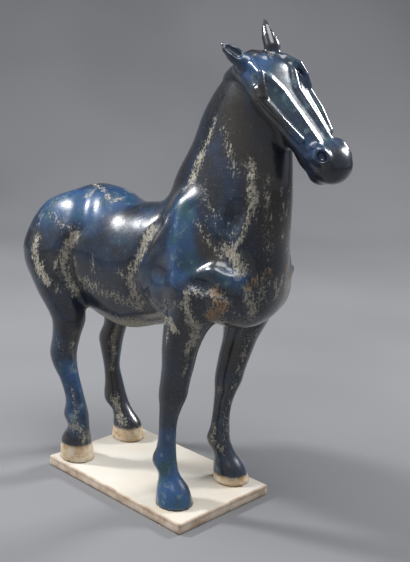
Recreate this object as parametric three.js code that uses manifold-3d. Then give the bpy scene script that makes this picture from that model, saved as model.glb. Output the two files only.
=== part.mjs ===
// Glazed terracotta horse standing on its slab, millimetres.
// +X is forward, +Y the horse's left, +Z up; the origin is the middle of the slab's underside.
import * as THREE from 'three';
import Module from 'manifold-3d';

// Slab
const slab = { length: 256, width: 160, thickness: 14.4, cornerRadius: 5, edgeRound: 1.6 };
const restGap = 0.3; // the soles stand this far over the slab

// The horse stands a little turned to its left on the slab
const turnOnSlab = THREE.MathUtils.degToRad(3.5);

// Barrel: x, middle y, middle z, half width, half height
const barrel = [
  [-182, 0, 297, 42, 46],
  [-163, 0, 299, 54, 67],
  [-128, 0, 301, 60, 80],
  [-85, 0, 295, 61, 87],
  [-45, 0, 288, 60, 84],
  [-5, 0, 296, 60, 80],
  [40, 0, 304, 60, 76],
  [90, 0, 303, 56, 63],
  [132, 0, 300, 42, 48],
];

// Neck: z, middle x, middle y, half depth, half width; the width falls off towards the crest
const neck = [
  [296, 106, 0, 69, 50],
  [345, 102, 0, 80, 49],
  [400, 101, 0, 83, 44],
  [455, 114, 0, 67, 37],
  [487, 118, 0, 58, 33],
  [510, 124, 0, 50, 31],
  [528, 129, 0, 41, 28],
];
const crestTaper = 0.33;

// Paired muscles: middle on the left side, radii, and how softly each one blends in
const muscles = [
  { middle: [-154, 26, 312], radii: [58, 32, 55], soft: 22 }, // croup
  { middle: [-181, 32, 285], radii: [41, 26, 45], soft: 18 }, // buttock
  { middle: [92, 34, 318], radii: [62, 28, 58], soft: 20 }, // shoulder
  { middle: [138, 30, 290], radii: [30, 25, 36], soft: 14 }, // breast
];

// Legs from the body down: z, middle x, middle y, half length, half width
const legs = [
  { // right fore
    soft: 8,
    stations: [
      [262, 95, -46, 34, 27], [238, 85, -48, 27, 25], [215, 80, -50, 23, 21], [190, 77, -50, 20, 18.5],
      [168, 73, -50, 18.7, 17], [153, 71, -50, 18, 16.6], [137, 68, -50, 14.3, 13.4], [120, 65, -50, 11.8, 11.2],
      [100, 64, -50, 11.2, 10.6], [82, 63, -50, 12.6, 11.6], [64, 61, -50, 16.2, 14.5], [49, 69, -50, 13.6, 13],
      [33, 77, -51, 20.5, 19.5], [14, 82, -52, 25, 23],
    ],
  },
  { // left fore
    soft: 8,
    stations: [
      [262, 105, 46, 34, 27], [238, 98, 48, 28, 25], [212, 92, 50, 23, 21], [188, 85, 50, 21, 19],
      [166, 79, 50, 19.5, 17.6], [150, 76, 50, 18.4, 16.8], [132, 72, 50, 14.4, 13.4], [116, 69, 50, 12.4, 11.6],
      [98, 67, 50, 12, 11], [80, 66, 50, 13.5, 12.4], [63, 65, 50, 16.4, 15], [48, 76, 50, 15, 14.4],
      [34, 84, 50, 21, 19.5], [14, 90, 50, 25, 23],
    ],
  },
  { // right hind
    soft: 10,
    stations: [
      [275, -165, -42, 44, 26], [240, -146, -45, 38, 25], [208, -124, -48, 25, 21], [185, -125, -50, 20, 18],
      [158, -131, -50, 19.2, 17.2], [141, -127, -50, 17, 15.5], [125, -118, -50, 14.2, 12.8],
      [106, -109, -50, 13.2, 12.2], [92, -105, -50, 14.5, 13.2], [77, -104, -50, 17.4, 15.8],
      [62, -99, -50, 15, 13.8], [43, -104, -49, 21, 19], [14, -103, -48, 25, 22],
    ],
  },
  { // left hind
    soft: 10,
    stations: [
      [275, -165, 42, 44, 26], [240, -150, 45, 38, 25], [208, -131, 48, 25, 21], [182, -134, 50, 18, 16.4],
      [157, -143, 50, 18.6, 17], [140, -143, 50, 16, 14.6], [115, -141, 50, 12.3, 11.2], [94, -136, 50, 13.6, 12.4],
      [66, -130, 50, 17.6, 16], [53, -117, 50, 15.2, 14], [38, -107, 50, 20.5, 18.5], [14, -104, 50, 25, 22],
    ],
  },
];

// Head: origin at the crown; u runs down the face, v to the horse's left, w out of the face
const headOrigin = [141.8, -3, 560.8];
const headTurn = { faceDown: [0.689, 0.138, -0.711], left: [-0.03, 0.986, 0.163] };
const headSoft = 8;

// Head sections: u, middle v, middle w, half width, half depth
const skull = [
  [4, 0, -15, 25, 14], [26, 0, -8, 33, 16], [46, 0, -8, 38, 14], [64, 0, -10, 36, 13],
  [86, 0, -11, 31, 13], [108, 0, -12, 26, 13], [128, 0, -13, 22, 13],
];
const jaw = [
  [34, 0, -34, 20, 26], [56, 0, -40, 20, 34], [80, 0, -36, 17, 24], [104, 0, -28, 14, 16],
  [128, 0, -27, 14, 15], [146, 0, -27, 15, 12],
];
const muzzle = { middle: [148, 4, -14], radii: [23, 25, 21], soft: 8 };
const lowerLip = { middle: [148, 1, -32], radii: [12, 14, 8], soft: 4 };

// Paired ridges of the head, on the left side: u, v, w, radius
const faceEdge = { line: [[10, 23, 0, 6], [28, 29, 5, 4], [42, 21, 5.5, 3.5], [60, 13, 3, 3], [92, 12, 1.5, 2.6], [124, 11, -1.5, 2.4]], soft: 7 };
const faceCrest = { line: [[54, 37, -4, 4], [85, 31, -3, 3.4], [115, 24, -5, 3]], soft: 6 };
const brow = { line: [[24, 30, 5, 3.5], [38, 37, 6, 3.5], [54, 38, 1, 3]], soft: 5 };
const eye = { middle: [47, 32, -3], radii: [8, 7, 7], soft: 3 };
const nostrilWing = { middle: [140, 17, -3], radii: [13, 8, 9], soft: 6 };
const nostrilHole = { middle: [143, 23, 1], radii: [6, 5, 5], soft: 3 };
const forelock = { line: [[-1, 0, -8, 5], [14, 0, 3, 4]], soft: 5 };

// Ears: side, foot and tip in u and w; the shell is hollowed by a slimmer form in front of it
const ears = [
  { side: -1, foot: [2, -6], tip: [-22, -6] },
  { side: 1, foot: [-4, 2], tip: [-33, 10] },
];
const ear = { spreadFoot: 25, spreadTip: 34, radii: [9, 8.5, 6, 1.5], hollow: [4, 4, 1.5], forward: 7, soft: 5 };

// Mesh grid: zones along each axis as start, end and step
const gridZones = {
  x: [[-250, 104, 6], [104, 280, 5]],
  y: [[-98, 98, 5.6]],
  z: [[-24, 420, 6], [420, 615, 5]],
};
const gridBlock = 4; // lattice points that are judged together far from the surface
const trianglesWanted = 9300;

// Smooth joins of two distances
function blend(a, b, soft) {
  const h = Math.max(soft - Math.abs(a - b), 0) / soft;
  return Math.min(a, b) - h * h * soft * 0.25;
}
const carve = (a, b, soft) => -blend(-a, b, soft);

function ellipsoidAt(p, { middle, radii }, side = 1) {
  let near = 0;
  let slope = 0;
  for (let i = 0; i < 3; i++) {
    const q = p[i] - middle[i] * (i === 1 ? side : 1);
    near += (q / radii[i]) ** 2;
    slope += (q / radii[i] ** 2) ** 2;
  }
  const k = Math.sqrt(near);
  return (k * (k - 1)) / Math.max(Math.sqrt(slope), 1e-9);
}

// Round bar through points with their own radii
function barAt(p, line, side = 1) {
  let best = Infinity;
  for (let i = 0; i + 1 < line.length; i++) {
    const a = line[i];
    const b = line[i + 1];
    const d = [b[0] - a[0], (b[1] - a[1]) * side, b[2] - a[2]];
    const q = [p[0] - a[0], p[1] - a[1] * side, p[2] - a[2]];
    const length2 = d[0] ** 2 + d[1] ** 2 + d[2] ** 2;
    const t = Math.min(Math.max((q[0] * d[0] + q[1] * d[1] + q[2] * d[2]) / length2, 0), 1);
    const reach = Math.hypot(q[0] - t * d[0], q[1] - t * d[1], q[2] - t * d[2]);
    best = Math.min(best, reach - (a[3] + (b[3] - a[3]) * t));
  }
  return best;
}

// Stations sorted along their axis, with the slopes of a smooth curve through them
function makeLoft(axis, stations, { taper = 0, power = 2 } = {}) {
  const rows = [...stations].sort((a, b) => a[0] - b[0]);
  const slopes = rows.map((row, i) => {
    const before = rows[Math.max(i - 1, 0)];
    const after = rows[Math.min(i + 1, rows.length - 1)];
    return row.map((_, k) => (after[k] - before[k]) / (after[0] - before[0]));
  });
  const others = [0, 1, 2].filter((k) => k !== axis);
  return { axis, others, rows, slopes, taper, power };
}

function loftAt(p, { axis, others, rows, slopes, taper, power }) {
  const last = rows.length - 1;
  const t = Math.min(Math.max(p[axis], rows[0][0]), rows[last][0]);
  let i = 0;
  while (i < last - 1 && t > rows[i + 1][0]) i++;
  const h = rows[i + 1][0] - rows[i][0];
  const s = (t - rows[i][0]) / h;
  const curve = (k) =>
    (2 * s ** 3 - 3 * s ** 2 + 1) * rows[i][k] + (s ** 3 - 2 * s ** 2 + s) * h * slopes[i][k] +
    (3 * s ** 2 - 2 * s ** 3) * rows[i + 1][k] + (s ** 3 - s ** 2) * h * slopes[i + 1][k];
  const radiusA = curve(3);
  let radiusB = curve(4);
  const a = (p[others[0]] - curve(1)) / radiusA;
  if (taper) radiusB *= Math.min(Math.max(1 + taper * a, 0.4), 1.6);
  const b = (p[others[1]] - curve(2)) / radiusB;
  const radiusEnd = Math.min(radiusA, radiusB);
  const e = (p[axis] - t) / radiusEnd;
  const parts = [[a, radiusA], [b, radiusB], [e, radiusEnd]];
  const sum = parts.reduce((total, [q]) => total + Math.abs(q) ** power, 0);
  const k = Math.max(sum, 1e-12) ** (1 / power);
  const slope = Math.hypot(...parts.map(([q, r]) => Math.abs(q) ** (power - 1) / r)) / k ** (power - 1);
  return (k - 1) / Math.max(slope, 1e-3);
}

const barrelLoft = makeLoft(0, barrel);
const neckLoft = makeLoft(2, neck, { taper: crestTaper });
const legLofts = legs.map(({ stations, soft }) => ({ loft: makeLoft(2, stations), soft }));
const skullLoft = makeLoft(0, skull, { power: 2.5 });
const jawLoft = makeLoft(0, jaw);

function bodyAt(p) {
  let d = loftAt(p, barrelLoft);
  for (const muscle of muscles) {
    for (const side of [-1, 1]) d = blend(d, ellipsoidAt(p, muscle, side), muscle.soft);
  }
  d = blend(d, loftAt(p, neckLoft), 26);
  for (const { loft, soft } of legLofts) d = blend(d, loftAt(p, loft), soft);
  return d;
}

function earAt(q, { side, foot, tip }) {
  const step = (t, k) => foot[k] + (tip[k] - foot[k]) * t;
  const spread = (t) => side * (ear.spreadFoot + (ear.spreadTip - ear.spreadFoot) * t);
  const shell = ear.radii.map((radius, i) => [step(i / 3, 0), spread(i / 3), step(i / 3, 1), radius]);
  const hollow = ear.hollow.map((radius, i) => {
    const t = 0.15 + i * 0.38;
    return [step(t, 0), spread(t) + side * 4, step(t, 1) + ear.forward * (1 - t * 0.5), radius];
  });
  return carve(barAt(q, shell), barAt(q, hollow), 2);
}

function headAt(q) {
  const m = [q[0], Math.abs(q[1]), q[2]];
  let d = blend(loftAt(q, skullLoft), loftAt(q, jawLoft), 10);
  d = blend(d, ellipsoidAt(q, muzzle), muzzle.soft);
  for (const ridge of [faceEdge, faceCrest, brow]) d = blend(d, barAt(m, ridge.line), ridge.soft);
  d = blend(d, ellipsoidAt(m, eye), eye.soft);
  d = blend(d, ellipsoidAt(m, nostrilWing), nostrilWing.soft);
  d = carve(d, ellipsoidAt(m, nostrilHole), nostrilHole.soft);
  d = blend(d, ellipsoidAt(q, lowerLip), lowerLip.soft);
  d = blend(d, barAt(q, forelock.line), forelock.soft);
  for (const one of ears) d = blend(d, earAt(q, one), ear.soft);
  return d;
}

// Rows of the turn from the slab's frame into the head's
const headLeft = new THREE.Vector3(...headTurn.left).normalize();
const headDown = new THREE.Vector3(...headTurn.faceDown);
headDown.addScaledVector(headLeft, -headDown.dot(headLeft)).normalize();
const headOut = new THREE.Vector3().crossVectors(headDown, headLeft);
const headRows = [headDown, headLeft, headOut].map((v) => v.toArray());

function horseAt(p) {
  const c = Math.cos(turnOnSlab);
  const s = Math.sin(turnOnSlab);
  const onHorse = [p[0] * c + p[1] * s, p[1] * c - p[0] * s, p[2]];
  const from = p.map((value, i) => value - headOrigin[i]);
  const onHead = headRows.map((row) => row[0] * from[0] + row[1] * from[1] + row[2] * from[2]);
  return blend(bodyAt(onHorse), headAt(onHead), headSoft);
}

// Grid lines of one axis
function gridLines(zones) {
  const lines = [zones[0][0]];
  for (const [start, end, step] of zones) {
    const count = Math.round((end - start) / step);
    for (let i = 1; i <= count; i++) lines.push(start + ((end - start) * i) / count);
  }
  return lines;
}

// Field values on the lattice; blocks far from the surface share one value
function latticeValues(field, lines) {
  const n = lines.map((row) => row.length);
  const value = new Float64Array(n[0] * n[1] * n[2]);
  const blocks = n.map((count) => Math.ceil(count / gridBlock));
  eachCell(blocks, (bi, bj, bk) => {
    const low = [bi, bj, bk].map((b) => b * gridBlock);
    const high = low.map((start, axis) => Math.min(start + gridBlock, n[axis]) - 1);
    const middle = low.map((start, axis) => (lines[axis][start] + lines[axis][high[axis]]) / 2);
    const reach = Math.hypot(...low.map((start, axis) => lines[axis][high[axis]] - middle[axis]));
    const rough = field(middle);
    const far = Math.abs(rough) > reach * 1.4 + 14;
    for (let i = low[0]; i <= high[0]; i++) {
      for (let j = low[1]; j <= high[1]; j++) {
        for (let k = low[2]; k <= high[2]; k++) {
          value[(i * n[1] + j) * n[2] + k] = far ? rough : field([lines[0][i], lines[1][j], lines[2][k]]);
        }
      }
    }
  });
  return value;
}

function eachCell(counts, visit) {
  for (let i = 0; i < counts[0]; i++) {
    for (let j = 0; j < counts[1]; j++) {
      for (let k = 0; k < counts[2]; k++) visit(i, j, k);
    }
  }
}

// The twelve edges of a cell as corner and axis, and the corners round each of its six sides;
// a corner's three bits say on which side of the cell it lies along x, y and z
const cellEdges = [];
const cellSides = [];
for (let corner = 0; corner < 8; corner++) {
  for (let axis = 0; axis < 3; axis++) if (!((corner >> axis) & 1)) cellEdges.push([corner, axis]);
}
for (let axis = 0; axis < 3; axis++) {
  const one = 1 << ((axis + 1) % 3);
  const two = 1 << ((axis + 2) % 3);
  for (const base of [0, 1 << axis]) cellSides.push([base, base | one, base | one | two, base | two]);
}
const edgeName = (corner, axis) => corner * 3 + axis;
const edgeBetween = (p, q) => edgeName(Math.min(p, q), Math.log2(p ^ q));

// Crossed edges of a cell, sorted into the separate sheets of surface that pass through it
function sheetsOf(inside) {
  const sheets = [];
  const sheetWith = (name) => sheets.find((sheet) => sheet.includes(name));
  const join = (first, second) => {
    const one = sheetWith(first);
    const two = sheetWith(second);
    if (one === two) return;
    one.push(...two);
    sheets.splice(sheets.indexOf(two), 1);
  };
  for (const [corner, axis] of cellEdges) {
    if (inside[corner] !== inside[corner | (1 << axis)]) sheets.push([edgeName(corner, axis)]);
  }
  for (const side of cellSides) {
    const names = side.map((p, i) => edgeBetween(p, side[(i + 1) % 4]));
    const crossed = names.filter(sheetWith);
    if (crossed.length === 2) join(...crossed);
    if (crossed.length === 4) side.forEach((p, i) => inside[p] && join(names[(i + 3) % 4], names[i]));
  }
  return sheets;
}

// Closed mesh of the surface where the distance is zero: one point in a cell for each sheet,
// one four-sided face round each crossed grid edge
function surfaceMesh(field, zones) {
  const lines = [gridLines(zones.x), gridLines(zones.y), gridLines(zones.z)];
  const n = lines.map((row) => row.length);
  const at = (i, j, k) => (i * n[1] + j) * n[2] + k;
  const value = latticeValues(field, lines);
  const corners = [0, 1, 2, 3, 4, 5, 6, 7].map((corner) => [corner & 1, (corner >> 1) & 1, corner >> 2]);
  const points = [];
  const pointOf = new Map();
  const cells = n.map((count) => count - 1);
  eachCell(cells, (i, j, k) => {
    const v = corners.map(([a, b, c]) => value[at(i + a, j + b, k + c)]);
    const inside = v.map((x) => x < 0);
    if (inside.every((x) => x) || !inside.includes(true)) return;
    const cell = [i, j, k].map((start, axis) => [lines[axis][start], lines[axis][start + 1]]);
    for (const sheet of sheetsOf(inside)) {
      const sum = [0, 0, 0];
      for (const name of sheet) {
        const corner = Math.floor(name / 3);
        const along = name % 3;
        const t = v[corner] / (v[corner] - v[corner | (1 << along)]);
        for (let axis = 0; axis < 3; axis++) {
          const [low, high] = cell[axis];
          sum[axis] += axis === along ? low + (high - low) * t : cell[axis][corners[corner][axis]];
        }
        pointOf.set(at(i, j, k) * 24 + name, points.length);
      }
      points.push(settle(field, sum.map((x) => x / sheet.length), cell));
    }
  });
  const triangles = [];
  eachCell(cells, (i, j, k) => {
    const isInside = value[at(i, j, k)] < 0;
    for (let axis = 0; axis < 3; axis++) {
      const next = [i, j, k];
      next[axis] += 1;
      if (isInside === (value[at(...next)] < 0)) continue;
      const one = (axis + 1) % 3;
      const two = (axis + 2) % 3;
      const around = [[1, 1], [0, 1], [0, 0], [1, 0]].map(([a, b]) => {
        const cell = [i, j, k];
        cell[one] -= a;
        cell[two] -= b;
        return pointOf.get(at(...cell) * 24 + edgeName((a << one) | (b << two), axis));
      });
      if (!isInside) around.reverse();
      triangles.push(...splitFace(points, around));
    }
  });
  return { points, triangles };
}

// Two triangles of a four-sided face, along its shorter diagonal
function splitFace(points, [a, b, c, d]) {
  if (distance(points[a], points[c]) <= distance(points[b], points[d])) return [[a, b, c], [a, c, d]];
  return [[a, b, d], [b, c, d]];
}

const distance = (p, q) => Math.hypot(p[0] - q[0], p[1] - q[1], p[2] - q[2]);

// Moves a point onto the surface, inside its own cell if one is given
function settle(field, point, cell) {
  const probe = 0.4;
  const inset = 0.06;
  let p = point;
  for (let round = 0; round < 3; round++) {
    const d = field(p);
    const slope = [0, 1, 2].map((axis) => {
      const q = [...p];
      q[axis] += probe;
      return (field(q) - d) / probe;
    });
    const step = d / Math.max(slope[0] ** 2 + slope[1] ** 2 + slope[2] ** 2, 0.1);
    p = p.map((x, axis) => {
      const moved = x - step * slope[axis];
      if (!cell) return moved;
      const margin = (cell[axis][1] - cell[axis][0]) * inset;
      return Math.min(Math.max(moved, cell[axis][0] + margin), cell[axis][1] - margin);
    });
  }
  return p;
}

const minus = (p, q) => [p[0] - q[0], p[1] - q[1], p[2] - q[2]];
const dot = (p, q) => p[0] * q[0] + p[1] * q[1] + p[2] * q[2];
const cross = (p, q) => [p[1] * q[2] - p[2] * q[1], p[2] * q[0] - p[0] * q[2], p[0] * q[1] - p[1] * q[0]];
const normalOf = (a, b, c) => cross(minus(b, a), minus(c, a));

// Merges neighbouring points where the surface is nearly flat, until few enough triangles are left.
// Each point carries the planes it has stood on; the cost of a merge is how far it leaves them.
function thinMesh(field, { points, triangles }, wanted) {
  const planes = points.map(() => new Float64Array(10));
  for (const [a, b, c] of triangles) {
    const normal = normalOf(points[a], points[b], points[c]);
    const size = Math.hypot(...normal) || 1;
    const row = [...normal.map((x) => x / size), -dot(normal, points[a]) / size];
    for (const p of [a, b, c]) {
      let slot = 0;
      for (let i = 0; i < 4; i++) for (let j = i; j < 4; j++) planes[p][slot++] += row[i] * row[j] * size;
    }
  }
  const leaves = (a, b, [x, y, z]) => {
    const q = planes[a].map((value, i) => value + planes[b][i]);
    return x * (q[0] * x + 2 * (q[1] * y + q[2] * z + q[3])) + y * (q[4] * y + 2 * (q[5] * z + q[6])) +
      z * (q[7] * z + 2 * q[8]) + q[9];
  };
  let left = triangles;
  while (left.length > wanted) left = mergePass(field, points, planes, left, wanted, leaves);
  return { points, triangles: left };
}

// One round of merges that don't touch each other, cheapest first
function mergePass(field, points, planes, triangles, wanted, leaves) {
  const around = new Map();
  const edges = new Map();
  triangles.forEach((t) => {
    t.forEach((p, i) => {
      if (!around.has(p)) around.set(p, []);
      around.get(p).push(t);
      const q = t[(i + 1) % 3];
      if (p < q) edges.set(`${p}_${q}`, [p, q]);
    });
  });
  const ring = (p) => new Set(around.get(p).flat().filter((q) => q !== p));
  const middleOf = ([a, b]) => points[a].map((x, i) => (x + points[b][i]) / 2);
  const lengthWeight = 0.002;
  const ranked = [...edges.values()].map((edge) => {
    const middle = middleOf(edge);
    const cost = leaves(...edge, middle) + lengthWeight * distance(points[edge[0]], points[edge[1]]) ** 4;
    return { edge, middle, cost };
  });
  ranked.sort((one, two) => one.cost - two.cost);
  const busy = new Set();
  const goes = new Map();
  let count = triangles.length;
  for (const { edge: [a, b], middle } of ranked.slice(0, Math.ceil(ranked.length / 4))) {
    if (count <= wanted) break;
    if (busy.has(a) || busy.has(b)) continue;
    const ringA = ring(a);
    const ringB = ring(b);
    if ([...ringA].filter((p) => ringB.has(p)).length !== 2) continue;
    const place = settle(field, middle);
    const turns = [...around.get(a), ...around.get(b)].some((t) => {
      if (t.includes(a) && t.includes(b)) return false;
      const before = normalOf(...t.map((p) => points[p]));
      const after = normalOf(...t.map((p) => (p === a || p === b ? place : points[p])));
      return dot(before, after) < 0.5 * Math.hypot(...before) * Math.hypot(...after);
    });
    if (turns) continue;
    points[a] = place;
    planes[b].forEach((value, i) => {
      planes[a][i] += value;
    });
    goes.set(b, a);
    for (const p of [...ringA, ...ringB]) busy.add(p);
    count -= 2;
  }
  return triangles.map((t) => t.map((p) => goes.get(p) ?? p)).filter(([a, b, c]) => a !== b && b !== c && c !== a);
}

const wasm = await Module();
wasm.setup();

function toSolid(positions, index) {
  const mesh = new wasm.Mesh({
    numProp: 3,
    vertProperties: Float32Array.from(positions),
    triVerts: Uint32Array.from(index),
  });
  return new wasm.Manifold(mesh);
}

function toGeometry(solid) {
  const { vertProperties, triVerts } = solid.getMesh();
  const geometry = new THREE.BufferGeometry();
  geometry.setAttribute('position', new THREE.BufferAttribute(vertProperties, 3));
  geometry.setIndex(new THREE.BufferAttribute(triVerts, 1));
  geometry.computeVertexNormals();
  return geometry;
}

// Box as a solid, from its lowest and highest corners
function boxSolid(low, high) {
  const positions = [];
  for (let c = 0; c < 8; c++) positions.push(...[0, 1, 2].map((axis) => ((c >> axis) & 1 ? high[axis] : low[axis])));
  const sides = [[0, 2, 3, 1], [4, 5, 7, 6], [0, 1, 5, 4], [2, 6, 7, 3], [0, 4, 6, 2], [1, 3, 7, 5]];
  return toSolid(positions, sides.flatMap(([a, b, c, d]) => [a, b, c, a, c, d]));
}

const glaze = new THREE.MeshStandardMaterial({ color: 0x1b2c44, roughness: 0.22, metalness: 0 });
const bareClay = new THREE.MeshStandardMaterial({ color: 0xd8d0bf, roughness: 0.85, metalness: 0 });

// Horse, cut flat under the hooves
function makeHorse() {
  const { points, triangles } = thinMesh(horseAt, surfaceMesh(horseAt, gridZones), trianglesWanted);
  const whole = toSolid(points.flat(), triangles.flat());
  const below = boxSolid([-300, -150, -80], [300, 150, slab.thickness + restGap]);
  const horse = new THREE.Mesh(toGeometry(whole.subtract(below)), glaze);
  horse.name = 'horse';
  return horse;
}

// Slab with rounded corners and softened edges
function makeSlab() {
  const { length, width, thickness, cornerRadius: r, edgeRound } = slab;
  const x = length / 2 - edgeRound;
  const y = width / 2 - edgeRound;
  const outline = new THREE.Shape();
  outline.moveTo(-x + r, -y);
  outline.lineTo(x - r, -y);
  outline.absarc(x - r, -y + r, r, -Math.PI / 2, 0);
  outline.lineTo(x, y - r);
  outline.absarc(x - r, y - r, r, 0, Math.PI / 2);
  outline.lineTo(-x + r, y);
  outline.absarc(-x + r, y - r, r, Math.PI / 2, Math.PI);
  outline.lineTo(-x, -y + r);
  outline.absarc(-x + r, -y + r, r, Math.PI, Math.PI * 1.5);
  const geometry = new THREE.ExtrudeGeometry(outline, {
    depth: thickness - 2 * edgeRound,
    bevelThickness: edgeRound,
    bevelSize: edgeRound,
    bevelSegments: 2,
    curveSegments: 4,
  });
  geometry.translate(0, 0, edgeRound);
  const mesh = new THREE.Mesh(geometry, bareClay);
  mesh.name = 'base_slab';
  return mesh;
}

const part = new THREE.Group();
part.add(makeSlab(), makeHorse());

export default part;
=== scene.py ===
import functools
import itertools
import math

import bpy
import numpy as np
from mathutils import Matrix, Vector


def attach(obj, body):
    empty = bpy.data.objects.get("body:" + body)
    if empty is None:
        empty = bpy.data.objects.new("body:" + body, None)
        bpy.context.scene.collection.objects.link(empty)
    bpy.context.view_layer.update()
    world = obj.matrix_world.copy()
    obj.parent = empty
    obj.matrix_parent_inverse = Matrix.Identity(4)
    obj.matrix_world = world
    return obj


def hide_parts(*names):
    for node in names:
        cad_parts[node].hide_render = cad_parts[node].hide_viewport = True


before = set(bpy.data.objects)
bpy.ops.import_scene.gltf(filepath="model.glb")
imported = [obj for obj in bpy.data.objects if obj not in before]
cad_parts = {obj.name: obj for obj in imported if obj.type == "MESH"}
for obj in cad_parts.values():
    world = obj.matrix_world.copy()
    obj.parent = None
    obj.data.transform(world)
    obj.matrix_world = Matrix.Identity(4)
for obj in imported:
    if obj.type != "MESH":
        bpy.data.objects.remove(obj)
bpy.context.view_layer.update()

mm = 0.001  # shapes are worked out in millimetres and become metres in their meshes

# The photograph's frame and the camera that took it, fitted to the slab's corners
photo = {"width": 410, "height": 562, "focalPixels": 900.0, "sensor": 36.0}
shot = {"azimuth": 43.74, "elevation": 13.5, "roll": 2.5, "back": 1209.3, "right": 66.4, "up": 266.4}


def unit(v):
    v = np.asarray(v, float)
    return v / np.linalg.norm(v)


def cameraAxes():
    # rows: the camera's right, up and backward directions
    a, e, r = (math.radians(shot[key]) for key in ("azimuth", "elevation", "roll"))
    back = np.array([math.sin(a) * math.cos(e), -math.cos(a) * math.cos(e), math.sin(e)])
    right = np.array([math.cos(a), math.sin(a), 0.0])
    up = np.cross(back, right)
    rolledRight = right * math.cos(r) + up * math.sin(r)
    rolledUp = up * math.cos(r) - right * math.sin(r)
    return np.array([rolledRight, rolledUp, back])


axes = cameraAxes()
eye = axes[2] * shot["back"] + axes[0] * shot["right"] + axes[1] * shot["up"]


def makeCamera():
    data = bpy.data.cameras.new("photographCamera")
    data.sensor_fit = "VERTICAL"
    data.sensor_height = photo["sensor"]
    data.lens = photo["focalPixels"] / photo["height"] * photo["sensor"]
    data.clip_end = 30
    camera = bpy.data.objects.new("photographCamera", data)
    turn = Matrix([list(column) for column in axes.T]).to_4x4()
    camera.matrix_world = Matrix.Translation(Vector(eye * mm)) @ turn
    bpy.context.collection.objects.link(camera)
    bpy.context.scene.camera = camera


makeCamera()
bpy.context.scene.view_settings.view_transform = "Standard"
print("camera placed")


# Shapes as distances: negative inside, positive outside, in millimetres

farAway = 1000.0
reach = 42.0  # a form is only worked out this near to it


def blend(a, b, soft):
    h = np.maximum(soft - np.abs(a - b), 0) / soft
    return np.minimum(a, b) - h * h * soft * 0.25


def carve(a, b, soft):
    return -blend(-a, b, soft)


def near(points, low, high):
    return np.nonzero(((points > low) & (points < high)).all(1))[0]


def ellipsoid(points, middle, radii):
    middle, radii = np.asarray(middle, float), np.asarray(radii, float)
    out = np.full(len(points), farAway)
    grown = radii.max() + reach
    chosen = near(points, middle - grown, middle + grown)
    q = (points[chosen] - middle) / radii
    k = np.sqrt((q ** 2).sum(1))
    out[chosen] = k * (k - 1) / np.maximum(np.sqrt(((q / radii) ** 2).sum(1)), 1e-9)
    return out


def bar(points, line, spare=reach * 0.6):
    # round bar through x, y, z, radius
    line = np.asarray(line, float)
    out = np.full(len(points), farAway)
    grown = line[:, 3].max() + spare
    chosen = near(points, line[:, :3].min(0) - grown, line[:, :3].max(0) + grown)
    p = points[chosen]
    best = np.full(len(p), farAway)
    for a, b in zip(line[:-1], line[1:]):
        d = b[:3] - a[:3]
        t = np.clip((p - a[:3]) @ d / d.dot(d), 0, 1)
        gap = np.linalg.norm(p - a[:3] - t[:, None] * d, axis=1)
        best = np.minimum(best, gap - (a[3] + (b[3] - a[3]) * t))
    out[chosen] = best
    return out


@functools.lru_cache
def loftTable(stations, count=160):
    # smooth curve through the stations' middles and radii
    rows = np.array(sorted(stations), float)
    t, y = rows[:, 0], rows[:, 1:]
    slope = np.empty_like(y)
    slope[1:-1] = (y[2:] - y[:-2]) / (t[2:] - t[:-2])[:, None]
    slope[0] = (y[1] - y[0]) / (t[1] - t[0])
    slope[-1] = (y[-1] - y[-2]) / (t[-1] - t[-2])
    at = np.linspace(t[0], t[-1], count)
    i = np.clip(np.searchsorted(t, at, side="right") - 1, 0, len(t) - 2)
    h = (t[i + 1] - t[i])[:, None]
    u = (at[:, None] - t[i][:, None]) / h
    curve = (2 * u ** 3 - 3 * u ** 2 + 1) * y[i] + (u ** 3 - 2 * u ** 2 + u) * h * slope[i]
    curve += (3 * u ** 2 - 2 * u ** 3) * y[i + 1] + (u ** 3 - u ** 2) * h * slope[i + 1]
    return at, curve


def loft(points, axis, stations, taper=0.0, power=2.0):
    # sections square to one axis: place, middle p, middle q, radius p, radius q
    at, curve = loftTable(tuple(stations))
    p, q = [k for k in range(3) if k != axis]
    grown = curve[:, 2:4].max() + reach
    low, high = np.empty(3), np.empty(3)
    low[axis], high[axis] = at[0] - grown, at[-1] + grown
    for column, k in enumerate((p, q)):
        low[k], high[k] = curve[:, column].min() - grown, curve[:, column].max() + grown
    out = np.full(len(points), farAway)
    chosen = near(points, low, high)
    here = points[chosen]
    t = np.clip(here[:, axis], at[0], at[-1])
    place = (t - at[0]) / (at[1] - at[0])
    i = np.minimum(place.astype(int), len(at) - 2)
    share = (place - i)[:, None]
    row = curve[i] * (1 - share) + curve[i + 1] * share
    radiusP, radiusQ = row[:, 2], row[:, 3]
    a = (here[:, p] - row[:, 0]) / radiusP
    if taper:
        radiusQ = radiusQ * np.clip(1 + taper * a, 0.4, 1.6)
    b = (here[:, q] - row[:, 1]) / radiusQ
    radiusEnd = np.minimum(radiusP, radiusQ)
    e = (here[:, axis] - t) / radiusEnd
    parts = ((a, radiusP), (b, radiusQ), (e, radiusEnd))
    k = np.maximum(sum(np.abs(v) ** power for v, r in parts), 1e-12) ** (1 / power)
    slope = np.sqrt(sum((np.abs(v) ** (power - 1) / r) ** 2 for v, r in parts)) / k ** (power - 1)
    out[chosen] = (k - 1) / np.maximum(slope, 1e-3)
    return out


# The horse

slabSize = {"length": 256.0, "width": 160.0, "thickness": 14.4}

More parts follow.
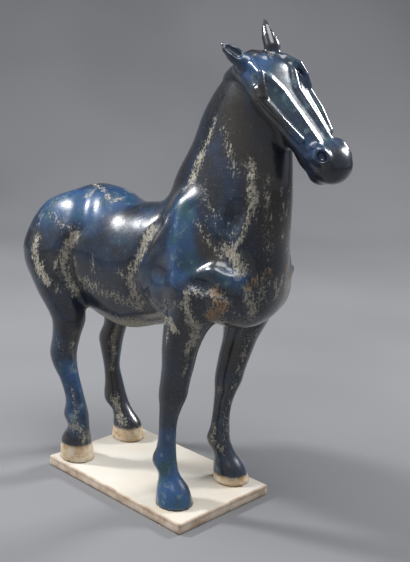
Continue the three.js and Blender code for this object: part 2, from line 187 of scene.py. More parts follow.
horseBody = {
    "turn": 3.5,  # degrees to its left on the slab
    # x, y, z, half width, half height
    "barrel": [(-182, 0, 297, 42, 46), (-163, 0, 299, 54, 67), (-128, 0, 303, 60, 81), (-85, 0, 296, 61, 88),
               (-45, 0, 288, 60, 84), (-5, 0, 296, 60, 80), (40, 0, 305, 60, 75), (90, 0, 308, 56, 60),
               (132, 0, 305, 42, 43)],
    # z, x, y, half depth, half width
    "neck": [(296, 106, 0, 69, 50), (345, 102, 0, 80, 49), (400, 101, 0, 83, 44), (455, 114, 0, 67, 37),
             (487, 118, 0, 58, 33), (510, 124, 0, 50, 31), (528, 129, 0, 41, 28)],
    "crestTaper": 0.33,
    "neckSoft": 26,
    # middle on the left side, radii, softness of the join
    "muscles": {"croup": ((-154, 26, 312), (58, 32, 55), 22), "buttock": ((-181, 32, 285), (41, 26, 45), 18),
                "shoulder": ((80, 30, 330), (50, 28, 60), 14), "breast": ((126, 24, 294), (36, 26, 32), 14),
                "upper arm": ((60, 38, 283), (43, 29, 37), 5), "lower arm": ((112, 46, 279), (16, 22, 18), 4),
                "shoulder point": ((138, 42, 294), (24, 24, 34), 6)},
    # lines on the left side along which the skin rises or sinks: half width, height, points
    "ridges": {
        "blade": (26, 8, [(74, 45, 378), (80, 58, 348), (86, 64, 320), (90, 66, 300)]),
        "blade crest": (7, 4, [(73, 46, 386), (79, 58, 366), (84, 66, 344), (87, 70, 322), (88, 71, 308)]),
        "blade edge": (5, 2.5, [(84, 46, 382), (108, 56, 364), (120, 59, 352), (134, 58, 341),
                                (147, 55, 331)]),
        "blade front": (8, -4, [(92, 50, 382), (114, 58, 362), (130, 60, 349), (146, 56, 338)]),
        "behind shoulder": (9, -6, [(34, 46, 358), (24, 56, 336), (12, 61, 306), (8, 60, 282),
                                    (14, 53, 260)]),
        "arm top": (7, 5, [(116, 66, 313), (130, 65, 320), (146, 60, 319), (162, 50, 313)]),
        "arm crease": (6, -7, [(112, 70, 303), (125, 67, 302), (140, 64, 300), (156, 57, 295)]),
        "throat edge": (6, 4, [(163, 34, 425), (165, 35, 397), (162, 39, 378), (157, 44, 357), (159, 44, 334),
                               (168, 34, 310)]),
        "throat hollow": (10, -5, [(150, 46, 385), (143, 51, 360), (146, 53, 342), (150, 54, 325)]),
        "flank": (9, -5, [(-96, 58, 330), (-108, 60, 307), (-110, 60, 287), (-108, 56, 263),
                          (-100, 49, 240)]),
        "thigh": (14, 4, [(-120, 58, 325), (-130, 62, 300), (-132, 62, 275)]),
        "croup edge": (12, -4, [(-112, 28, 376), (-100, 42, 360), (-92, 52, 340)]),
    },
}


# z, x, y, half length, half width, from the body down
legs = {
    "rightFore": [(285, 96, -42, 44, 30), (262, 95, -46, 35, 28), (238, 85, -48, 27, 25),
                  (215, 80, -50, 23, 21),
                  (190, 77, -50, 20, 18.5), (168, 73, -50, 18.7, 17), (153, 71, -50, 18, 16.6),
                  (137, 68, -50, 14.3, 13.4), (120, 65, -50, 11.8, 11.2), (100, 64, -50, 11.2, 10.6),
                  (82, 63, -50, 12.6, 11.6), (64, 61, -50, 16.2, 14.5), (49, 69, -50, 13.6, 13),
                  (33, 77, -51, 20.5, 19.5), (14, 82, -52, 25, 23)],
    "leftFore": [(285, 104, 42, 44, 30), (262, 105, 45, 37, 28), (238, 100, 48, 30, 26),
                 (212, 92, 50, 23, 21),
                 (188, 85, 50, 21, 19), (166, 79, 50, 19.5, 17.6), (150, 76, 50, 18.4, 16.8),
                 (132, 72, 50, 14.4, 13.4), (116, 69, 50, 12.4, 11.6), (98, 67, 50, 12, 11),
                 (80, 66, 50, 13.5, 12.4), (63, 65, 50, 16.4, 15), (48, 76, 50, 15, 14.4),
                 (34, 84, 50, 21, 19.5), (14, 90, 50, 25, 23)],
    "rightHind": [(290, -166, -36, 50, 30), (268, -162, -42, 43, 28), (240, -145, -45, 36, 26),
                  (208, -124, -48, 25, 21), (185, -125, -50, 20, 18), (158, -131, -50, 19.2, 17.2),
                  (141, -127, -50, 17, 15.5), (125, -118, -50, 14.2, 12.8), (106, -109, -50, 13.2, 12.2),
                  (92, -105, -50, 14.5, 13.2), (77, -104, -50, 17.4, 15.8), (62, -99, -50, 15, 13.8),
                  (43, -104, -49, 21, 19), (14, -103, -48, 25, 22)],
    "leftHind": [(290, -166, 36, 50, 30), (268, -162, 42, 43, 28), (240, -148, 45, 37, 26),
                 (208, -131, 48, 25, 21), (182, -134, 50, 18, 16.4), (157, -143, 50, 18.6, 17),
                 (140, -143, 50, 16, 14.6), (115, -141, 50, 12.3, 11.2), (94, -136, 50, 13.6, 12.4),
                 (66, -130, 50, 17.6, 16), (53, -117, 50, 15.2, 14), (38, -107, 50, 20.5, 18.5),
                 (14, -104, 50, 25, 22)],
}


@functools.lru_cache
def smoothLine(points, count=3):
    # more points along a smooth curve through the given ones
    p = np.array([points[0], *points, points[-1]], float)
    t = (np.arange(count) / count)[:, None]
    rows = []
    for a, b, c, d in zip(p[:-3], p[1:-2], p[2:-1], p[3:]):
        bend = (a - 2.5 * b + 2 * c - d / 2) * t ** 2
        rows.append(b + (c - a) * t / 2 + bend + (1.5 * (b - c) + (d - a) / 2) * t ** 3)
    return np.vstack([*rows, p[-1:]])


def relief(q, d, lines):
    for width, height, points in lines.values():
        line = smoothLine(tuple(points))
        gap = bar(q, np.column_stack([line, np.zeros(len(line))]), spare=width * 2.5)
        d = d - height * np.exp(-(gap / width) ** 2)
    return d


# The head's own frame: origin at the crown, u down the face, v to its left, w out of the face
headPlace = {"crown": (141.8, -3.0, 560.8), "faceDown": (0.689, 0.138, -0.711), "left": (-0.03, 0.986, 0.163)}
headLeft = unit(headPlace["left"])
headDown = unit(np.array(headPlace["faceDown"]) - headLeft * headLeft.dot(headPlace["faceDown"]))
headAxes = np.array([headDown, headLeft, np.cross(headDown, headLeft)])


def toHead(points):
    return (points - headPlace["crown"]) @ headAxes.T


def toHorse(points):
    c, s = math.cos(math.radians(horseBody["turn"])), math.sin(math.radians(horseBody["turn"]))
    x, y, z = points.T
    return np.stack([x * c + y * s, y * c - x * s, z], 1)


def mirrored(q):
    return np.stack([q[:, 0], np.abs(q[:, 1]), q[:, 2]], 1)


def bodyForm(q):
    d = loft(q, 0, horseBody["barrel"])
    for (x, y, z), radii, soft in horseBody["muscles"].values():
        for side in (-1, 1):
            d = blend(d, ellipsoid(q, (x, side * y, z), radii), soft)
    d = blend(d, loft(q, 2, horseBody["neck"], taper=horseBody["crestTaper"]), horseBody["neckSoft"])
    for name, stations in legs.items():
        d = blend(d, loft(q, 2, stations), 12 if "Hind" in name else 6)
    return relief(mirrored(q), d, horseBody["ridges"])


def headForm(q):
    m = mirrored(q)
    skull = [(5, 0, -16, 25, 14), (26, 0, -8, 33, 16), (46, 0, -8, 39, 14), (64, 0, -10, 38, 13),
             (86, 0, -11, 34, 13), (108, 0, -12, 29, 13), (128, 0, -13, 24, 13)]
    jaw = [(34, 0, -34, 20, 26), (56, 0, -40, 20, 34), (80, 0, -35, 17, 25), (104, 0, -25, 14, 15),
           (128, 0, -27, 14, 15), (146, 0, -27, 15, 12)]
    d = blend(loft(q, 0, skull, power=2.5), loft(q, 0, jaw), 10)
    d = blend(d, ellipsoid(q, (148, 4, -14), (23, 25, 21)), 8)
    faceEdge = [(10, 23, 0, 6), (28, 29, 5, 4), (42, 21, 5.5, 3.5), (60, 13, 3, 3), (92, 12, 1.5, 2.6),
                (124, 11, -1.5, 2.4)]
    d = blend(d, bar(m, faceEdge), 7)
    d = blend(d, bar(m, [(54, 40, -4, 4), (85, 35, -3, 3.4), (115, 27, -5, 3)]), 6)
    d = blend(d, bar(m, [(20, 27, 6, 4), (34, 34, 10, 4), (46, 38, 6, 3.6), (56, 39, 1, 3)]), 5)
    d = blend(d, ellipsoid(m, (47, 34, -3), (8, 8, 7)), 3)
    d = blend(d, ellipsoid(m, (140, 18, -3), (13, 9, 9)), 6)
    d = carve(d, ellipsoid(m, (143, 23, 1), (6, 5, 5)), 3)
    d = blend(d, ellipsoid(q, (148, 1, -33), (12, 14, 8.5)), 4)
    d = blend(d, bar(q, [(-1, 0, -8, 5), (14, 0, 3, 4)]), 5)
    for side, footU, footW, tipU, tipW in ((-1, 2, -6, -22, -6), (1, -4, 2, -31, 9)):
        shell = [(footU + 4, side * 25, footW, 9), (footU - 8, side * 29, (footW * 2 + tipW) / 3, 8.5),
                 ((footU + 2 * tipU) / 3, side * 32, (footW + 2 * tipW) / 3, 6), (tipU, side * 34, tipW, 1.5)]
        hollow = [(footU - 2, side * 31, footW + 7, 4),
                  ((footU + 2 * tipU) / 3, side * 36, (footW + 2 * tipW) / 3 + 5, 4),
                  (tipU + 4, side * 36, tipW + 3, 1.5)]
        d = blend(d, carve(bar(q, shell), bar(q, hollow), 2), 5)
    return d


def horseForm(points):
    d = blend(bodyForm(toHorse(points)), headForm(toHead(points)), 8)
    return np.maximum(d, slabSize["thickness"] + 0.3 - points[:, 2])


# Meshing: a grid whose cells shrink towards the head

meshing = {"step": 3.0, "headMiddle": (182.0, 8.0, 516.0), "shrink": 0.5, "core": 210.0, "rim": 430.0}


def warp(points):
    middle = np.array(meshing["headMiddle"])
    offset = points - middle
    r = np.linalg.norm(offset, axis=1)
    t = np.clip((r - meshing["core"]) / (meshing["rim"] - meshing["core"]), 0, 1)
    scale = meshing["shrink"] + (1 - meshing["shrink"]) * t * t * (3 - 2 * t)
    return middle + offset * scale[:, None]


def surfaceNet(field, low, high, step, warp=None, coarse=4, spare=2.2):
    move = warp or (lambda points: points)
    low, high = np.asarray(low, float), np.asarray(high, float)
    cells = (np.ceil((high - low) / step / coarse) * coarse).astype(int)
    count = cells + 1
    blocks = cells // coarse + 1
    lines = [low[i] + step * coarse * np.arange(blocks[i]) for i in range(3)]
    grid = np.stack([g.ravel() for g in np.meshgrid(*lines, indexing="ij")], 1)
    rough = field(move(grid)).reshape(blocks)
    close = np.abs(rough) < step * coarse * spare
    block = np.zeros(blocks - 1, bool)
    for i, j, k in itertools.product((0, 1), repeat=3):
        block |= close[i:blocks[0] - 1 + i, j:blocks[1] - 1 + j, k:blocks[2] - 1 + k]
    fine = block.repeat(coarse, 0).repeat(coarse, 1).repeat(coarse, 2)
    needed = np.zeros(count, bool)
    for i, j, k in itertools.product((0, 1), repeat=3):
        needed[i:count[0] - 1 + i, j:count[1] - 1 + j, k:count[2] - 1 + k] |= fine
    index = np.argwhere(needed)
    value = np.full(count, farAway)
    inner = np.where(rough[:-1, :-1, :-1] < 0, -farAway, farAway)
    value[:-1, :-1, :-1] = inner.repeat(coarse, 0).repeat(coarse, 1).repeat(coarse, 2)
    found = np.empty(len(index))
    chunk = 300000
    for start in range(0, len(index), chunk):
        found[start:start + chunk] = field(move(low + step * index[start:start + chunk]))
    value[tuple(index.T)] = found
    inside = value < 0
    corners = [inside[i:count[0] - 1 + i, j:count[1] - 1 + j, k:count[2] - 1 + k]
               for i, j, k in itertools.product((0, 1), repeat=3)]
    crossed = np.logical_or.reduce(corners) & ~np.logical_and.reduce(corners)
    number = np.full(crossed.shape, -1)
    number[crossed] = np.arange(crossed.sum())
    cell = np.argwhere(crossed)
    total, hits = np.zeros((len(cell), 3)), np.zeros(len(cell))
    for axis in range(3):
        p, q = [k for k in range(3) if k != axis]
        for i, j in itertools.product((0, 1), repeat=2):
            start = cell.copy()
            start[:, p] += i
            start[:, q] += j
            end = start.copy()
            end[:, axis] += 1
            d0, d1 = value[tuple(start.T)], value[tuple(end.T)]
            cut = (d0 < 0) != (d1 < 0)
            a, b = move(low + step * start[cut]), move(low + step * end[cut])
            share = (d0[cut] / (d0[cut] - d1[cut]))[:, None]
            total[cut] += a + (b - a) * share
            hits[cut] += 1
    vertices = total / hits[:, None]
    faces = []
    for axis in range(3):
        p, q = (axis + 1) % 3, (axis + 2) % 3
        a = inside.take(range(count[axis] - 1), axis)
        b = inside.take(range(1, count[axis]), axis)
        edge = np.argwhere(a != b)
        isIn = a[tuple(edge.T)]
        whole = (edge[:, p] > 0) & (edge[:, q] > 0)
        whole &= (edge[:, p] < count[p] - 1) & (edge[:, q] < count[q] - 1)
        edge, isIn = edge[whole], isIn[whole]
        ring = []
        for i, j in ((1, 1), (0, 1), (0, 0), (1, 0)):
            at = edge.copy()
            at[:, p] -= i
            at[:, q] -= j
            ring.append(number[tuple(at.T)])
        quad = np.stack(ring, 1)
        quad[~isIn] = quad[~isIn][:, ::-1]
        faces.append(quad)
    return vertices, np.vstack(faces)


def slopeOf(field, points, probe=0.4):
    parts = []
    for axis in range(3):
        step = np.zeros(3)
        step[axis] = probe
        parts.append((field(points + step) - field(points - step)) / (2 * probe))
    return np.stack(parts, 1)


def settle(field, points, rounds=2, most=1.2):
    # pulls the points onto the surface
    for _ in range(rounds):
        d = field(points)
        slope = slopeOf(field, points)
        step = np.clip(d, -most, most) / np.maximum((slope ** 2).sum(1), 0.2)
        points = points - slope * step[:, None]
    return points


def meshObject(name, vertices, faces):
    mesh = bpy.data.meshes.new(name)
    mesh.vertices.add(len(vertices))
    mesh.vertices.foreach_set("co", (vertices * mm).astype(np.float32).ravel())
    side = faces.shape[1]
    mesh.loops.add(faces.size)
    mesh.loops.foreach_set("vertex_index", faces.astype(np.int32).ravel())
    mesh.polygons.add(len(faces))
    mesh.polygons.foreach_set("loop_start", np.arange(0, faces.size, side, dtype=np.int32))
    mesh.update(calc_edges=True)
    mesh.validate()
    mesh.shade_smooth()
    thing = bpy.data.objects.new(name, mesh)
    bpy.context.collection.objects.link(thing)
    return thing


def addMask(thing, name, values):
    mask = thing.data.attributes.new(name, "FLOAT", "POINT")
    mask.data.foreach_set("value", np.asarray(values, np.float32))


# Node building

class Shade:
    # a socket that can be used in sums; a sum adds its Math node
    def __init__(self, tree, socket):
        self.tree, self.socket = tree, socket

    def math(self, operation, *others):
        return self.tree.add("ShaderNodeMath", {"operation": operation}, dict(enumerate((self, *others))))

    def __add__(self, other):
        return self.math("ADD", other)

    def __mul__(self, other):
        return self.math("MULTIPLY", other)

    def __sub__(self, other):
        return self.math("SUBTRACT", other)

    def __rsub__(self, other):
        return self.tree.add("ShaderNodeMath", {"operation": "SUBTRACT"}, {0: other, 1: self})

    __radd__ = __add__
    __rmul__ = __mul__

    def above(self, low, high):
        return self.tree.add("ShaderNodeMapRange", {"interpolation_type": "SMOOTHSTEP"},
                             {"Value": self, "From Min": low, "From Max": high})


class Tree:
    def __init__(self, name):
        self.material = bpy.data.materials.new(name)
        self.material.use_nodes = True
        self.nodes = self.material.node_tree.nodes
        self.links = self.material.node_tree.links
        self.nodes.clear()

    def add(self, kind, settings=None, sockets=None, out=0):
        node = self.nodes.new(kind)
        for key, value in (settings or {}).items():
            if key == "stops":
                ramp = node.color_ramp
                while len(ramp.elements) < len(value):
                    ramp.elements.new(0.5)
                for element, (place, colour) in zip(ramp.elements, value):
                    element.position = place
                    element.color = (*colour, 1)
            else:
                setattr(node, key, value)
        for key, value in (sockets or {}).items():
            if isinstance(value, Shade):
                self.links.new(value.socket, node.inputs[key])
            else:
                node.inputs[key].default_value = value
        return Shade(self, node.outputs[out]) if node.outputs else None

    def mask(self, name):
        return self.add("ShaderNodeAttribute", {"attribute_name": name}, out="Fac")

    def place(self, scale=(1, 1, 1), turn=(0, 0, 0)):
        where = self.add("ShaderNodeTexCoord", out="Object")
        return self.add("ShaderNodeMapping", {}, {"Vector": where, "Scale": scale, "Rotation": turn})

    def noise(self, scale, vector=None, detail=4.0, rough=0.55):
        sockets = {"Vector": vector or self.place(), "Scale": scale, "Detail": detail, "Roughness": rough}
        return self.add("ShaderNodeTexNoise", {}, sockets)

    def mix(self, share, a, b):
        node = self.nodes.new("ShaderNodeMix")
        node.data_type = "RGBA"
        for key, value in ((0, share), (6, a), (7, b)):
            if isinstance(value, Shade):
                self.links.new(value.socket, node.inputs[key])
            elif key == 0:
                node.inputs[key].default_value = value
            else:
                node.inputs[key].default_value = (*value, 1)
        return Shade(self, node.outputs[2])

    def bump(self, height, distance, strength=1.0, below=None):
        sockets = {"Height": height, "Distance": distance, "Strength": strength}
        if below is not None:
            sockets["Normal"] = below
        return self.add("ShaderNodeBump", {}, sockets)

    def finish(self, **sockets):
        names = {"baseColor": "Base Color", "roughness": "Roughness", "normal": "Normal", "ior": "IOR",
                 "coat": "Coat Weight", "coatRoughness": "Coat Roughness", "specular": "Specular IOR Level"}
        values = {names[key]: value for key, value in sockets.items()}
        shader = self.add("ShaderNodeBsdfPrincipled", {}, values)
        self.add("ShaderNodeOutputMaterial", {}, {"Surface": shader})
        return self.material


glazeLook = {
    "darkest": (0.010, 0.012, 0.016), "brownish": (0.026, 0.021, 0.015), "navy": (0.012, 0.024, 0.052),
    "brightBlue": (0.016, 0.070, 0.185), "teal": (0.020, 0.070, 0.085), "paleBlue": (0.10, 0.16, 0.20),
    "grey": (0.13, 0.135, 0.13), "buff": (0.24, 0.215, 0.165), "cream": (0.44, 0.41, 0.33),
    "tan": (0.30, 0.19, 0.10), "clay": (0.66, 0.57, 0.43), "claySoiled": (0.50, 0.30, 0.12),
    "gloss": 0.30, "coat": 0.75, "coatGloss": 0.07,
}


def horseGlaze():
    t = Tree("wornBlueGlaze")
    look = glazeLook
    wear, blue, clay, tan, brown = (t.mask(name) for name in ("wear", "blue", "clay", "tan", "brown"))
    scratches = t.noise(1.0, t.place((420, 420, 90)), detail=5, rough=0.6)
    speckle = t.noise(330, detail=5, rough=0.7)
    patches = t.noise(70, detail=5, rough=0.65)
    blotches = t.noise(24, detail=5, rough=0.6)
    tint = t.noise(9, detail=3)
    dark = t.mix(blotches.above(0.42, 0.66), look["darkest"], look["navy"])
    dark = t.mix((brown + (patches - 0.5) * 0.8).above(0.2, 0.9), dark, look["brownish"])
    bright = t.mix(tint.above(0.40, 0.60), look["navy"], look["brightBlue"])
    bright = t.mix(blotches.above(0.46, 0.7), bright, look["teal"])
    bright = t.mix((patches + blue * 0.12).above(0.62, 0.76), bright, look["paleBlue"])
    # painted reflection: this mask brightens the glaze where the lamps reflect on the forehead, croup,
    # shoulder and barrel, besides the glaze's own bright tint
    glaze = t.mix((blue * 1.2 + (blotches - 0.5) * 0.9 + (patches - 0.5) * 0.5).above(0.1, 0.9), dark, bright)
    glaze = t.mix((speckle + wear * 0.2).above(0.56, 0.78) * 0.55, glaze, look["grey"])
    # rubbed-through glaze showing the cream body, plus one painted highlight on the left shoulder's lump
    wornAndHighlit = (wear + (scratches - 0.5) * 1.3 + (speckle - 0.5) * 1.3 + (patches - 0.5) * 0.9).above(0.42, 0.78)
    under = t.mix(speckle.above(0.35, 0.65), look["buff"], look["cream"])
    under = t.mix((tan + (patches - 0.5) * 0.6).above(0.3, 0.8), under, look["tan"])
    colour = t.mix(wornAndHighlit * 0.9, glaze, under)
    bare = t.mix(patches.above(0.42, 0.66), look["clay"], look["claySoiled"])
    colour = t.mix(clay, colour, bare)
    rough = wornAndHighlit * 0.3 + patches * 0.16 + speckle * 0.16 + look["gloss"] - 0.16 + clay * 0.4
    gloss = (1.0 - wornAndHighlit) * look["coat"] * (1.0 - clay)
    skin = t.bump(blotches + patches * 0.3, 0.0016, 0.35)
    skin = t.bump(wornAndHighlit * -1.0 + speckle * 0.5, 0.0004, 0.6, skin)
    return t.finish(baseColor=colour, roughness=rough, normal=skin, ior=1.5, coat=gloss,
                    coatRoughness=look["coatGloss"])


def slabClay():
    t = Tree("bareSlabClay")
    grain = t.noise(400, detail=5, rough=0.7)
    blotches = t.noise(14, detail=5, rough=0.6)
    stain = t.mask("stain")
    side = t.mask("side")
    top = t.mix(blotches.above(0.4, 0.7), (0.59, 0.56, 0.50), (0.57, 0.52, 0.44))
    top = t.mix((stain + (blotches - 0.5) * 0.8).above(0.45, 1.15), top, (0.60, 0.52, 0.40))
    edge = t.mix(t.noise(60, detail=5).above(0.35, 0.7), (0.66, 0.55, 0.43), (0.40, 0.28, 0.19))
    colour = t.mix(side, top, edge)
    colour = t.mix(grain.above(0.6, 0.8), colour, (0.45, 0.37, 0.28))
    skin = t.bump(blotches + grain * 0.4, 0.001, 0.6)
    return t.finish(baseColor=colour, roughness=0.85, normal=skin)


# Strokes where the glaze is rubbed through or runs bright, some of them painted highlights and painted
# reflections of the lamps, drawn where the photograph shows them

# pixel lines, half width in mm, strength
wearAndHighlightStrokes = {
    "mane edge": ([(216, 118), (210, 135), (205, 150), (199, 163)], 6, 0.55),
    "mane hatching": ([(202, 152), (197, 167), (193, 178), (188, 185)], 10, 0.62),
    "neck side": ([(224, 130), (226, 145), (232, 160), (236, 174)], 9, 0.42),
    "throat": ([(250, 165), (253, 180), (254, 198), (253, 214)], 9, 0.6),
    "throat edge": ([(253, 203), (248, 222), (241, 238), (235, 247)], 5, 0.62),
    "neck foot": ([(205, 196), (212, 215), (224, 235)], 18, 0.3),
    "shoulder edge": ([(196, 222), (206, 240), (222, 258)], 4, 0.55),
    "neck front": ([(266, 180), (268, 215), (270, 255)], 9, 0.4),
    "neck left": ([(282, 190), (283, 240)], 5, 0.35),
    "chest": ([(226, 248), (235, 258), (240, 270)], 11, 0.72),
    "breastbone": ([(248, 284), (260, 282), (268, 272)], 8, 0.55),
    "breast middle": ([(248, 288), (251, 304), (253, 318)], 11, 0.6),
    "breast left": ([(264, 284), (259, 302)], 12, 0.5),
    "breast right": ([(216, 294), (222, 306), (213, 318)], 13, 0.68),
    "breast foot": ([(228, 300), (238, 318)], 8, 0.35),
    # painted highlight: a cream streak where the left shoulder's lump catches the light
    "left point highlight": ([(276, 278), (276, 288), (278, 298)], 4, 0.62),
    "arm foot": ([(148, 298), (162, 306), (180, 305)], 11, 0.42),
    "arm parting": ([(186, 294), (187, 304), (188, 314)], 7, 0.62),
    "arm front": ([(194, 288), (203, 296)], 9, 0.45),
    "behind shoulder": ([(154, 228), (147, 238), (142, 252), (134, 266), (131, 280), (134, 292), (141, 303)],
                        8, 0.72),
    "ribs": ([(88, 284), (104, 292), (122, 300), (140, 306)], 14, 0.5),
    "rib marks": ([(92, 258), (94, 274)], 6, 0.45),
    "rib spot": ([(118, 272), (125, 277)], 5, 0.55),
    "flank": ([(77, 234), (70, 243), (64, 252), (63, 264), (67, 278), (76, 291)], 9, 0.7),
    "flank fold": ([(74, 258), (77, 274), (86, 290)], 5, 0.5),
    "croup ring": ([(94, 184), (101, 188), (108, 196), (112, 202), (120, 199)], 5, 0.6),
    "croup ring rim": ([(96, 186), (92, 194), (86, 197)], 5, 0.45),
    "croup side": ([(50, 214), (62, 224), (76, 228)], 12, 0.38),
    "croup back": ([(38, 222), (48, 206), (62, 196)], 12, 0.3),
    "buttock": ([(37, 238), (35, 254), (39, 268), (46, 281)], 10, 0.72),
    "thigh": ([(56, 262), (57, 290)], 8, 0.36),
    "fore knee": ([(164, 318), (170, 322), (174, 330)], 9, 0.66),
    "forearm patch": ([(190, 320), (198, 328), (193, 344)], 9, 0.75),
    "forearm streak": ([(186, 345), (187, 362), (183, 376)], 5, 0.48),
    "forearm edge": ([(196, 350), (190, 380)], 5, 0.42),
    "forearm back": ([(168, 330), (167, 348)], 5, 0.45),
    "left forearm": ([(256, 325), (246, 350), (238, 372)], 10, 0.42),
    "left knee": ([(236, 380), (230, 398), (226, 425), (225, 448)], 7, 0.42),
    "left fetlock": ([(214, 424), (213, 440), (222, 450)], 6, 0.6),
    "gaskin": ([(58, 335), (60, 352)], 6, 0.3),
    "hock": ([(73, 344), (74, 362)], 6, 0.42),
    "hind shank marks": ([(72, 388), (74, 402), (76, 416)], 4, 0.5),
    "hind pastern": ([(70, 424), (80, 430), (86, 440)], 10, 0.55),
    "left hind": ([(114, 332), (113, 352), (112, 368)], 7, 0.42),
    "left hind foot": ([(114, 398), (118, 410), (122, 424)], 10, 0.62),
}
# bright glaze tint strokes; on the forehead, croup, shoulder, blade front, shoulder point and barrel they are
# painted reflections and painted sheen of the lamps
blueGlazeAndSheenStrokes = {
    "forehead": ([(262, 68), (280, 72), (296, 105), (312, 138)], 26, 1.0),
    "croup": ([(50, 205), (70, 200), (95, 205), (125, 195)], 34, 0.85),
    "shoulder": ([(180, 205), (178, 235), (175, 268)], 22, 1.0),
    "blade front": ([(186, 235), (188, 265)], 12, 0.9),
    "barrel": ([(95, 225), (120, 235), (150, 215)], 34, 0.42),
    "arm": ([(160, 280), (200, 282)], 18, 0.42),
    "shoulder point": ([(228, 276), (240, 280)], 14, 0.8),
    "mane": ([(185, 195), (230, 235)], 20, 0.35),
    "hind shank": ([(68, 372), (72, 395), (78, 420)], 22, 0.85),
    "hock back": ([(57, 335), (55, 355)], 12, 0.5),
    "fore shank": ([(166, 440), (166, 470)], 18, 0.9),
    "fore hoof": ([(165, 480), (188, 478), (170, 500)], 24, 1.0),
    "left fore": ([(222, 400), (224, 440), (230, 460)], 14, 0.5),
}
brownStrokes = {
    "cheek": ([(255, 100), (275, 125), (290, 140)], 30, 1.0),
    "neck": ([(235, 110), (245, 150), (262, 170), (275, 230)], 30, 0.85),
    "chest side": ([(200, 240), (215, 260)], 16, 0.8),
    "left forearm": ([(232, 325), (228, 352)], 18, 1.0),
    "left hind": ([(110, 330), (112, 390)], 18, 0.8),
}
tanStrokes = {
    "breast": ([(216, 296), (222, 306), (213, 318)], 14, 0.8),
    "breastbone": ([(250, 284), (262, 281), (270, 270)], 9, 0.9),
    "left forearm": ([(228, 350), (224, 358)], 12, 0.9),
    "belly": ([(100, 305), (130, 316), (160, 320)], 16, 0.55),
}


def surfaceAt(pixels):
    # walks along the camera's rays until they meet the horse
    pixels = np.asarray(pixels, float)
    sideways = (pixels[:, 0] - photo["width"] / 2) / photo["focalPixels"]
    upward = (photo["height"] / 2 - pixels[:, 1]) / photo["focalPixels"]
    rays = np.stack([sideways, upward, -np.ones(len(pixels))], 1) @ axes
    rays /= np.linalg.norm(rays, axis=1)[:, None]
    travelled = np.full(len(pixels), 700.0)
    for _ in range(150):
        d = horseForm(eye + rays * travelled[:, None])
        travelled += np.clip(d, -3, 20) * 0.7
    return eye + rays * travelled[:, None]


def strokeMasks(points, *groups):
    # one mask for each group of strokes, mirrored to the side that the photograph doesn't show
    q = toHorse(points)
    pixels = np.array([pixel for strokes in groups for track, *_ in strokes.values() for pixel in track])
    found = iter(toHorse(surfaceAt(pixels)))
    masks = []
    for strokes in groups:
        total = np.zeros(len(points))
        for track, width, strength in strokes.values():
            line = np.array([next(found) for _ in track])
            for side in (1, -1):
                gap = bar(q, np.column_stack([line * (1, side, 1), np.zeros(len(line))]), spare=width * 3)
                total = np.maximum(total, strength * np.exp(-(np.maximum(gap, 0) / width) ** 2))
        masks.append(total)
    return masks


# where the feet are bare clay: middle, height that it reaches
clayFeet = {"rightHind": ((-103, -48), 37), "leftHind": ((-104, 50), 33), "leftFore": ((90, 50), 25)}


def makeHorse():
    vertices, faces = surfaceNet(horseForm, (-420, -290, -40), (580, 340, 760), meshing["step"], warp)
    vertices = settle(horseForm, vertices)
    print("horse mesh:", len(faces), "faces")
    vertices[:, 2] = np.maximum(vertices[:, 2], slabSize["thickness"] + 0.3)
    thing = meshObject("glazedHorse", vertices, faces)
    z = vertices[:, 2]
    # these masks carry painted lamp reflections and one painted highlight as colour, besides the glaze's own
    # tints and rubbed places
    wear, blue, brown, tan = strokeMasks(vertices, wearAndHighlightStrokes, blueGlazeAndSheenStrokes, brownStrokes, tanStrokes)
    q = toHorse(vertices)
    normal = slopeOf(horseForm, vertices, 1.0)
    normal /= np.maximum(np.linalg.norm(normal, axis=1), 1e-6)[:, None]
    belly = np.clip((-normal[:, 2] - 0.25) / 0.5, 0, 1) * np.clip((245 - z) / 30, 0, 1) * (z > 190)
    wear = np.maximum(wear, belly * 0.85 * (q[:, 0] < 160)) + 0.06
    clay = np.zeros(len(z))
    for (x, y), top in clayFeet.values():
        here = np.hypot(q[:, 0] - x, q[:, 1] - y) < 42
        clay = np.maximum(clay, np.clip((top - z) / 2 + 0.5, 0, 1) * here)
    for name, mask in (("wear", wear), ("blue", blue), ("clay", clay), ("tan", tan), ("brown", brown)):
        addMask(thing, name, mask)
    thing.data.materials.append(horseGlaze())
    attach(thing, "root")
    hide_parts("horse")


makeHorse()


def makeSlab():
    half = np.array([slabSize["length"] / 2, slabSize["width"] / 2, slabSize["thickness"] / 2])
    middle = np.array([0, 0, half[2]])
    edge = 1.5

    def slabForm(points):
        q = np.abs(points - middle) - half + edge
        box = np.linalg.norm(np.maximum(q, 0), axis=1) + np.minimum(q.max(1), 0) - edge
        groove = np.abs(points[:, 2] - 9.5)
        return box + 0.5 * np.exp(-(groove / 1.2) ** 2)

    vertices, faces = surfaceNet(slabForm, (-134, -86, -6), (134, 86, 22), 2.0, coarse=2)
    vertices = settle(slabForm, vertices)
    thing = meshObject("claySlab", vertices, faces)
    q = vertices
    side = np.clip((np.maximum(np.abs(q[:, 0]) - half[0] + 2.2, np.abs(q[:, 1]) - half[1] + 2.2)), 0, 1)
    stain = np.zeros(len(q))
    for foot in ((-103, -52), (-104, 50), (82, -56), (92, 44)):
        gap = np.hypot(q[:, 0] - foot[0], q[:, 1] - foot[1])
        stain = np.maximum(stain, np.exp(-(gap / 34) ** 2))
    addMask(thing, "side", side)
    addMask(thing, "stain", stain)
    thing.data.materials.append(slabClay())
    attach(thing, "root")
    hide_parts("base_slab")


makeSlab()
print("slab made")


# Studio: a sweep of grey paper and soft lamps

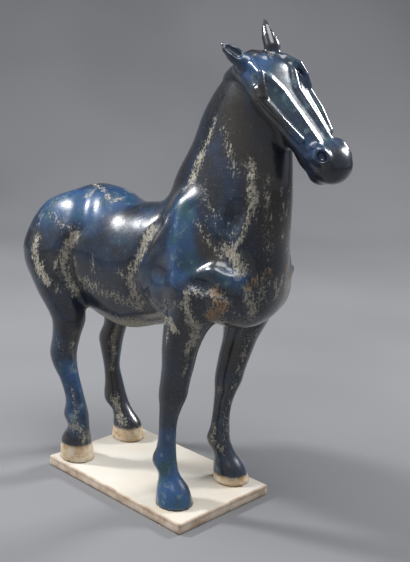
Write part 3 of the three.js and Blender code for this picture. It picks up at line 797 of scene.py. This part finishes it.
def makeSweep():
    rows = []
    bendStart, bendRadius, wall, front, halfWidth = 1620, 1260, 4680, -4680, 5400
    profile = [(front, 0), (bendStart, 0)]
    for i in range(1, 17):
        a = math.radians(90 * i / 16)
        profile.append((bendStart + bendRadius * math.sin(a), bendRadius * (1 - math.cos(a))))
    profile.append((bendStart + bendRadius, wall))
    away = unit(-axes[2] * (1, 1, 0))
    across = np.array([-away[1], away[0], 0])
    for along, height in profile:
        for side in (-halfWidth, halfWidth):
            rows.append(away * along + across * side + np.array([0, 0, height]))
    faces = np.array([(i * 2, i * 2 + 1, i * 2 + 3, i * 2 + 2) for i in range(len(profile) - 1)])
    sweep = meshObject("greySweep", np.array(rows), faces[:, ::-1])
    t = Tree("greyPaper")
    colour = t.mix(t.noise(1.2, detail=2).above(0.3, 0.7), (0.17, 0.173, 0.182), (0.205, 0.208, 0.218))
    sweep.data.materials.append(t.finish(baseColor=colour, roughness=0.9))


makeSweep()


def lamp(name, azimuth, elevation, distance, size, power, colour=(1, 1, 1), aim=(0.03, 0, 0.33)):
    data = bpy.data.lights.new(name, "AREA")
    data.shape = "RECTANGLE"
    data.size, data.size_y = size
    data.energy = power
    data.color = colour
    thing = bpy.data.objects.new(name, data)
    a, e = math.radians(azimuth), math.radians(elevation)
    way = Vector((math.cos(a) * math.cos(e), math.sin(a) * math.cos(e), math.sin(e)))
    thing.location = Vector(aim) + way * distance
    thing.rotation_euler = way.to_track_quat("Z", "Y").to_euler()
    bpy.context.collection.objects.link(thing)


lamp("leftSoftbox", -150, 38, 2.2, (0.22, 0.3), 46)
lamp("rightWindow", 78, 34, 2.4, (0.5, 0.5), 45)
lamp("overhead", -60, 75, 2.6, (1.6, 1.6), 50)


def makeAir():
    world = bpy.data.worlds.new("softGrey")
    world.use_nodes = True
    background = world.node_tree.nodes["Background"]
    background.inputs["Color"].default_value = (0.62, 0.64, 0.70, 1)
    background.inputs["Strength"].default_value = 0.55
    bpy.context.scene.world = world


makeAir()
print("studio made")
